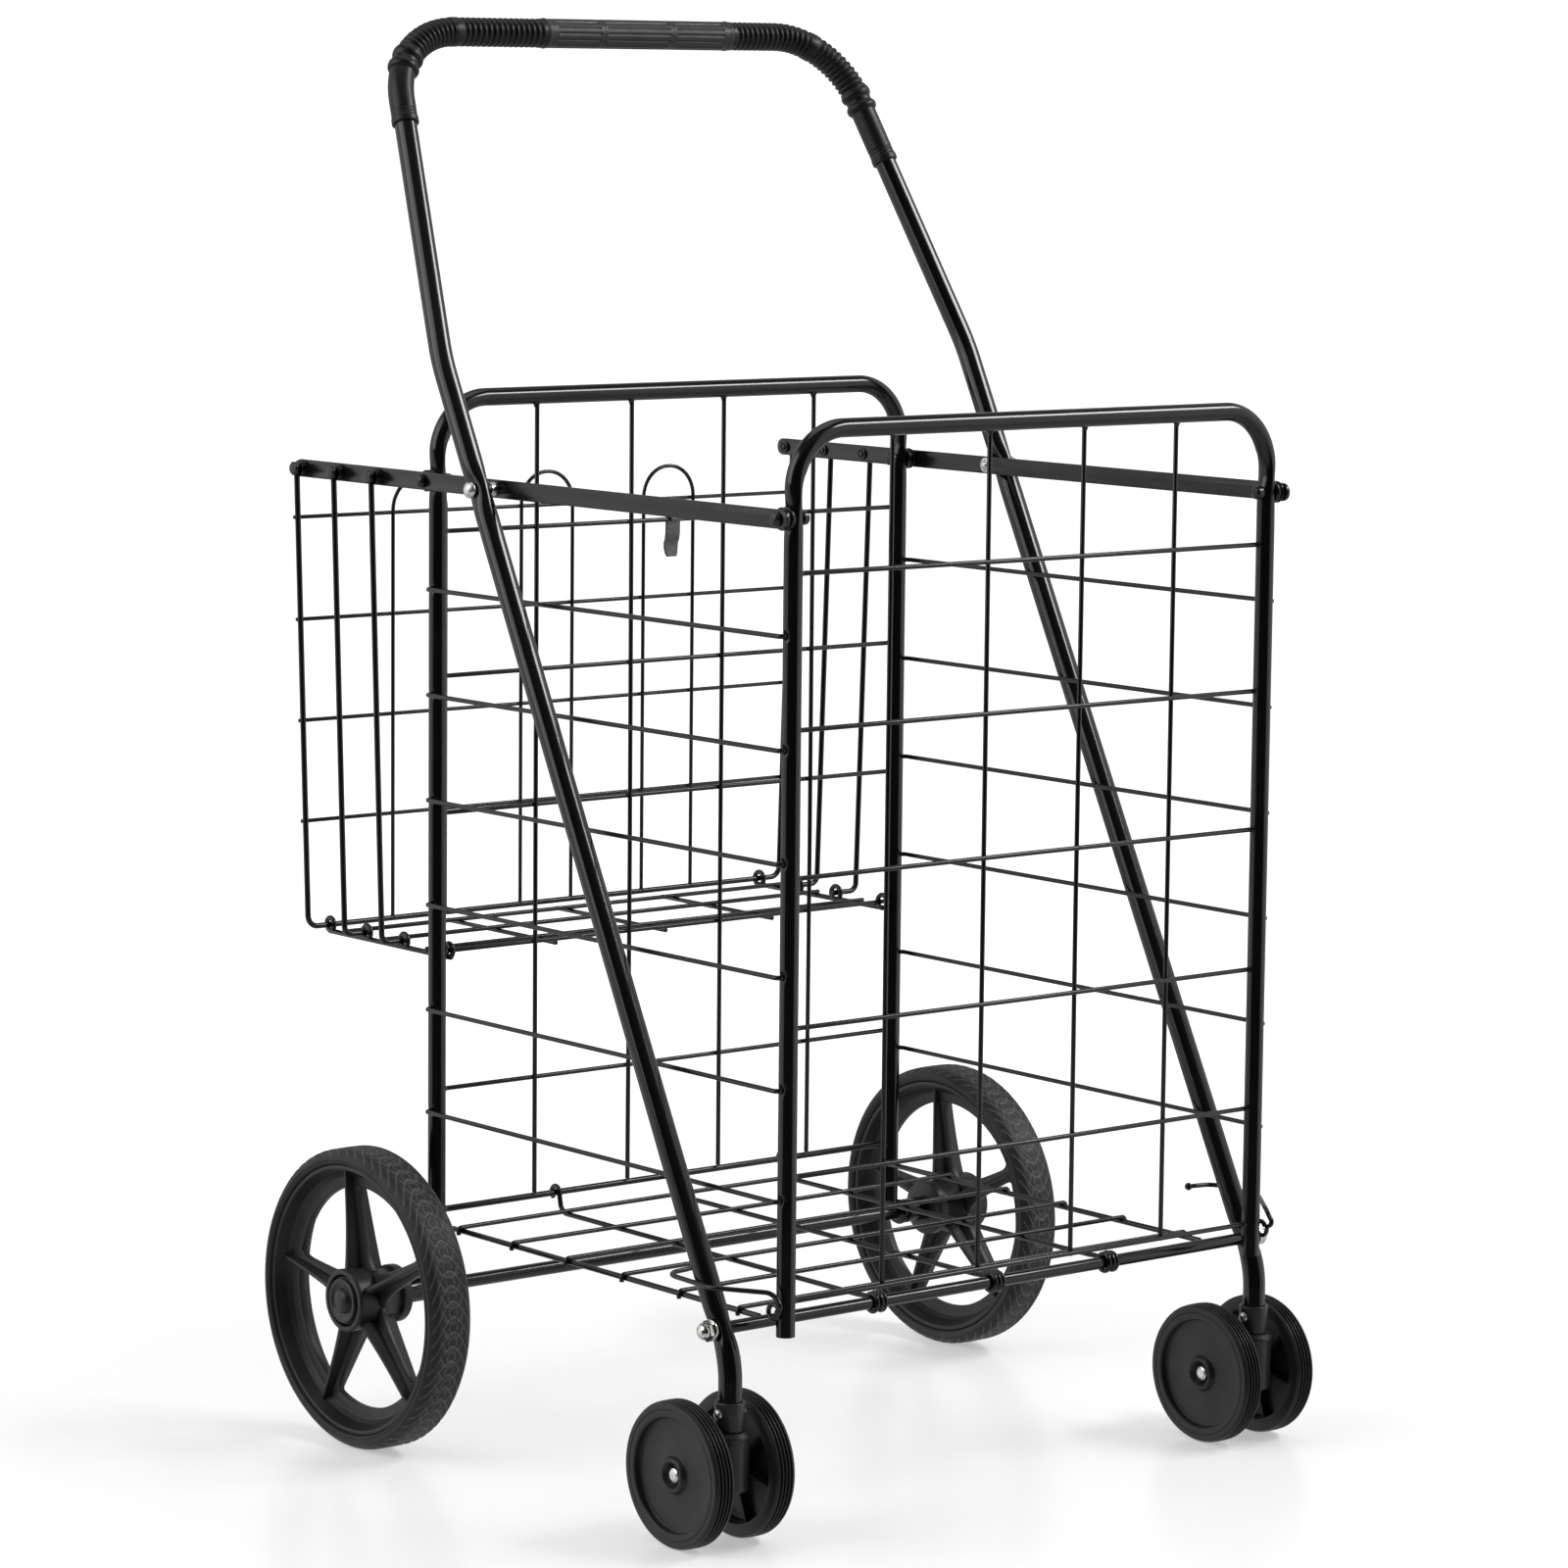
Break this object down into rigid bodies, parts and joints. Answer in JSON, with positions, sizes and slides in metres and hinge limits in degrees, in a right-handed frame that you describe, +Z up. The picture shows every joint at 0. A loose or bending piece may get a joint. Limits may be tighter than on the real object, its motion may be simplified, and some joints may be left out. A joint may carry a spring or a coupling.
{
  "type": "folding shopping trolley",
  "caption": "Black wire folding shopping trolley: tall main basket, shallow rear basket, slanted push handle with soft grips, large spoked rear wheels and twin-wheel swivel casters.",
  "frame": {"origin": "on the floor, midway across the width and midway between the foremost and rearmost points", "axes": "+Z up, +Y towards the rear (handle and small basket side), so the trolley's front with its casters faces -Y; +X to the right of someone looking along +Y"},
  "size_m": [0.5616, 0.5347, 0.9497],
  "materials": {
    "frame_paint": "gloss",
    "plated_steel": "satin",
    "tyre": "matte",
    "rim": "satin",
    "hub_cap": "satin",
    "caster_wheel": "satin",
    "grip": "matte",
    "fitting_plastic": "satin"
  },
  "bodies": {
    "rear_frame": {"rear_frame_tube": "frame_paint", "rear_wire_panel": "frame_paint", "floor_hinge_rod": "frame_paint", "rear_clip": "fitting_plastic", "rear_axle": "frame_paint", "rear_pivot_bolt_left": "plated_steel", "rear_pivot_bolt_right": "plated_steel"},
    "top_rails": {"side_rail_left": "frame_paint", "side_rail_right": "frame_paint"},
    "front_frame": {"front_frame_tube": "frame_paint", "front_wire_panel": "frame_paint", "front_pivot_bolt_left": "plated_steel", "front_pivot_bolt_right": "plated_steel"},
    "handle": {"handle_tube": "frame_paint", "grip_centre": "grip", "grip_bend_left": "grip", "grip_bend_right": "grip", "cross_rod": "frame_paint", "acorn_nut_left": "plated_steel", "acorn_nut_right": "plated_steel", "caster_socket_left": "frame_paint", "caster_socket_right": "frame_paint", "guide_loop_left": "frame_paint", "guide_loop_right": "frame_paint", "handle_pivot_bolt_left": "plated_steel", "handle_pivot_bolt_right": "plated_steel"},
    "basket_floor": {"floor_panel": "frame_paint"},
    "small_basket_front": {"small_basket_wall": "frame_paint"},
    "small_basket_bottom": {"small_basket_floor": "frame_paint"},
    "small_basket_links_1": {"small_basket_link_1_left": "frame_paint", "small_basket_link_1_right": "frame_paint"},
    "small_basket_links_2": {"small_basket_link_2_left": "frame_paint", "small_basket_link_2_right": "frame_paint"},
    "side_wires_1": {"side_wire_1_left": "frame_paint", "side_wire_1_right": "frame_paint"},
    "side_wires_2": {"side_wire_2_left": "frame_paint", "side_wire_2_right": "frame_paint"},
    "side_wires_3": {"side_wire_3_left": "frame_paint", "side_wire_3_right": "frame_paint"},
    "side_wires_4": {"side_wire_4_left": "frame_paint", "side_wire_4_right": "frame_paint"},
    "side_wires_5": {"side_wire_5_left": "frame_paint", "side_wire_5_right": "frame_paint"},
    "side_wires_6": {"side_wire_6_left": "frame_paint", "side_wire_6_right": "frame_paint"},
    "rear_wheel_left": {"rear_tyre_left": "tyre", "rear_rim_left": "rim", "rear_hub_cap_left": "hub_cap"},
    "caster_left": {"caster_housing_left": "fitting_plastic", "caster_axle_left": "plated_steel"},
    "caster_left_outer_wheel": {"caster_wheel_left_outer": "caster_wheel"},
    "caster_left_inner_wheel": {"caster_wheel_left_inner": "caster_wheel"},
    "rear_wheel_right": {"rear_tyre_right": "tyre", "rear_rim_right": "rim", "rear_hub_cap_right": "hub_cap"},
    "caster_right": {"caster_housing_right": "fitting_plastic", "caster_axle_right": "plated_steel"},
    "caster_right_outer_wheel": {"caster_wheel_right_outer": "caster_wheel"},
    "caster_right_inner_wheel": {"caster_wheel_right_inner": "caster_wheel"}
  },
  "joints": [
    {"name": "fold", "type": "hinge", "parent": "rear_frame", "child": "top_rails", "pos_m": [0, 0.11835, 0.645], "axis": [-1, 0, 0], "range_deg": [0, 80]},
    {"name": "front_frame_pivot", "type": "hinge", "parent": "top_rails", "child": "front_frame", "pos_m": [0, -0.25365, 0.645], "axis": [-1, 0, 0], "range_deg": [-80.01, 0]},
    {"name": "side_wires_1_pivot", "type": "hinge", "parent": "rear_frame", "child": "side_wires_1", "pos_m": [0, 0.11835, 0.573], "axis": [-1, 0, 0], "range_deg": [0, 80.01]},
    {"name": "side_wires_2_pivot", "type": "hinge", "parent": "rear_frame", "child": "side_wires_2", "pos_m": [0, 0.11835, 0.5026], "axis": [-1, 0, 0], "range_deg": [0, 80.01]},
    {"name": "side_wires_3_pivot", "type": "hinge", "parent": "rear_frame", "child": "side_wires_3", "pos_m": [0, 0.11835, 0.4322], "axis": [-1, 0, 0], "range_deg": [0, 80.01]},
    {"name": "side_wires_4_pivot", "type": "hinge", "parent": "rear_frame", "child": "side_wires_4", "pos_m": [0, 0.11835, 0.3618], "axis": [-1, 0, 0], "range_deg": [0, 80.01]},
    {"name": "side_wires_5_pivot", "type": "hinge", "parent": "rear_frame", "child": "side_wires_5", "pos_m": [0, 0.11835, 0.291], "axis": [-1, 0, 0], "range_deg": [0, 80.01]},
    {"name": "side_wires_6_pivot", "type": "hinge", "parent": "rear_frame", "child": "side_wires_6", "pos_m": [0, 0.11835, 0.2214], "axis": [-1, 0, 0], "range_deg": [0, 80.01]},
    {"name": "basket_floor_pivot", "type": "hinge", "parent": "rear_frame", "child": "basket_floor", "pos_m": [0, 0.11835, 0.153], "axis": [-1, 0, 0], "range_deg": [0, 80.01]},
    {"name": "handle_pivot", "type": "hinge", "parent": "top_rails", "child": "handle", "pos_m": [0, 0.03615, 0.645], "axis": [-1, 0, 0], "range_deg": [-89.61, 0]},
    {"name": "small_basket_front_pivot", "type": "hinge", "parent": "top_rails", "child": "small_basket_front", "pos_m": [0, 0.25835, 0.645], "axis": [-1, 0, 0], "range_deg": [-80.01, 0]},
    {"name": "small_basket_links_1_pivot", "type": "hinge", "parent": "top_rails", "child": "small_basket_links_1", "pos_m": [0, 0.21435, 0.645], "axis": [-1, 0, 0], "range_deg": [-80.01, 0]},
    {"name": "small_basket_links_2_pivot", "type": "hinge", "parent": "top_rails", "child": "small_basket_links_2", "pos_m": [0, 0.17035, 0.645], "axis": [-1, 0, 0], "range_deg": [-80.01, 0]},
    {"name": "small_basket_bottom_pivot", "type": "hinge", "parent": "rear_frame", "child": "small_basket_bottom", "pos_m": [0, 0.11835, 0.329], "axis": [-1, 0, 0], "range_deg": [0, 80.01]},
    {"name": "caster_left_swivel", "type": "hinge", "parent": "handle", "child": "caster_left", "pos_m": [-0.226, -0.23165, 0.08], "axis": [0, 0, 1], "continuous": true},
    {"name": "caster_left_outer_wheel_spin", "type": "hinge", "parent": "caster_left", "child": "caster_left_outer_wheel", "pos_m": [-0.226, -0.21215, 0.047], "axis": [1, 0, 0], "continuous": true},
    {"name": "caster_left_inner_wheel_spin", "type": "hinge", "parent": "caster_left", "child": "caster_left_inner_wheel", "pos_m": [-0.226, -0.21215, 0.047], "axis": [1, 0, 0], "continuous": true},
    {"name": "rear_wheel_left_spin", "type": "hinge", "parent": "rear_frame", "child": "rear_wheel_left", "pos_m": [-0.263, 0.11835, 0.101], "axis": [1, 0, 0], "continuous": true},
    {"name": "caster_right_swivel", "type": "hinge", "parent": "handle", "child": "caster_right", "pos_m": [0.226, -0.23165, 0.08], "axis": [0, 0, 1], "continuous": true},
    {"name": "caster_right_outer_wheel_spin", "type": "hinge", "parent": "caster_right", "child": "caster_right_outer_wheel", "pos_m": [0.226, -0.21215, 0.047], "axis": [1, 0, 0], "continuous": true},
    {"name": "caster_right_inner_wheel_spin", "type": "hinge", "parent": "caster_right", "child": "caster_right_inner_wheel", "pos_m": [0.226, -0.21215, 0.047], "axis": [1, 0, 0], "continuous": true},
    {"name": "rear_wheel_right_spin", "type": "hinge", "parent": "rear_frame", "child": "rear_wheel_right", "pos_m": [0.263, 0.11835, 0.101], "axis": [1, 0, 0], "continuous": true}
  ],
  "couplings": [
    {"joint": "front_frame_pivot", "follows": "fold", "ratio": -1},
    {"joint": "side_wires_1_pivot", "follows": "fold", "ratio": 1},
    {"joint": "side_wires_2_pivot", "follows": "fold", "ratio": 1},
    {"joint": "side_wires_3_pivot", "follows": "fold", "ratio": 1},
    {"joint": "side_wires_4_pivot", "follows": "fold", "ratio": 1},
    {"joint": "side_wires_5_pivot", "follows": "fold", "ratio": 1},
    {"joint": "side_wires_6_pivot", "follows": "fold", "ratio": 1},
    {"joint": "basket_floor_pivot", "follows": "fold", "ratio": 1},
    {"joint": "handle_pivot", "follows": "fold", "ratio": -1.12},
    {"joint": "small_basket_front_pivot", "follows": "fold", "ratio": -1},
    {"joint": "small_basket_links_1_pivot", "follows": "fold", "ratio": -1},
    {"joint": "small_basket_links_2_pivot", "follows": "fold", "ratio": -1},
    {"joint": "small_basket_bottom_pivot", "follows": "fold", "ratio": 1}
  ]
}
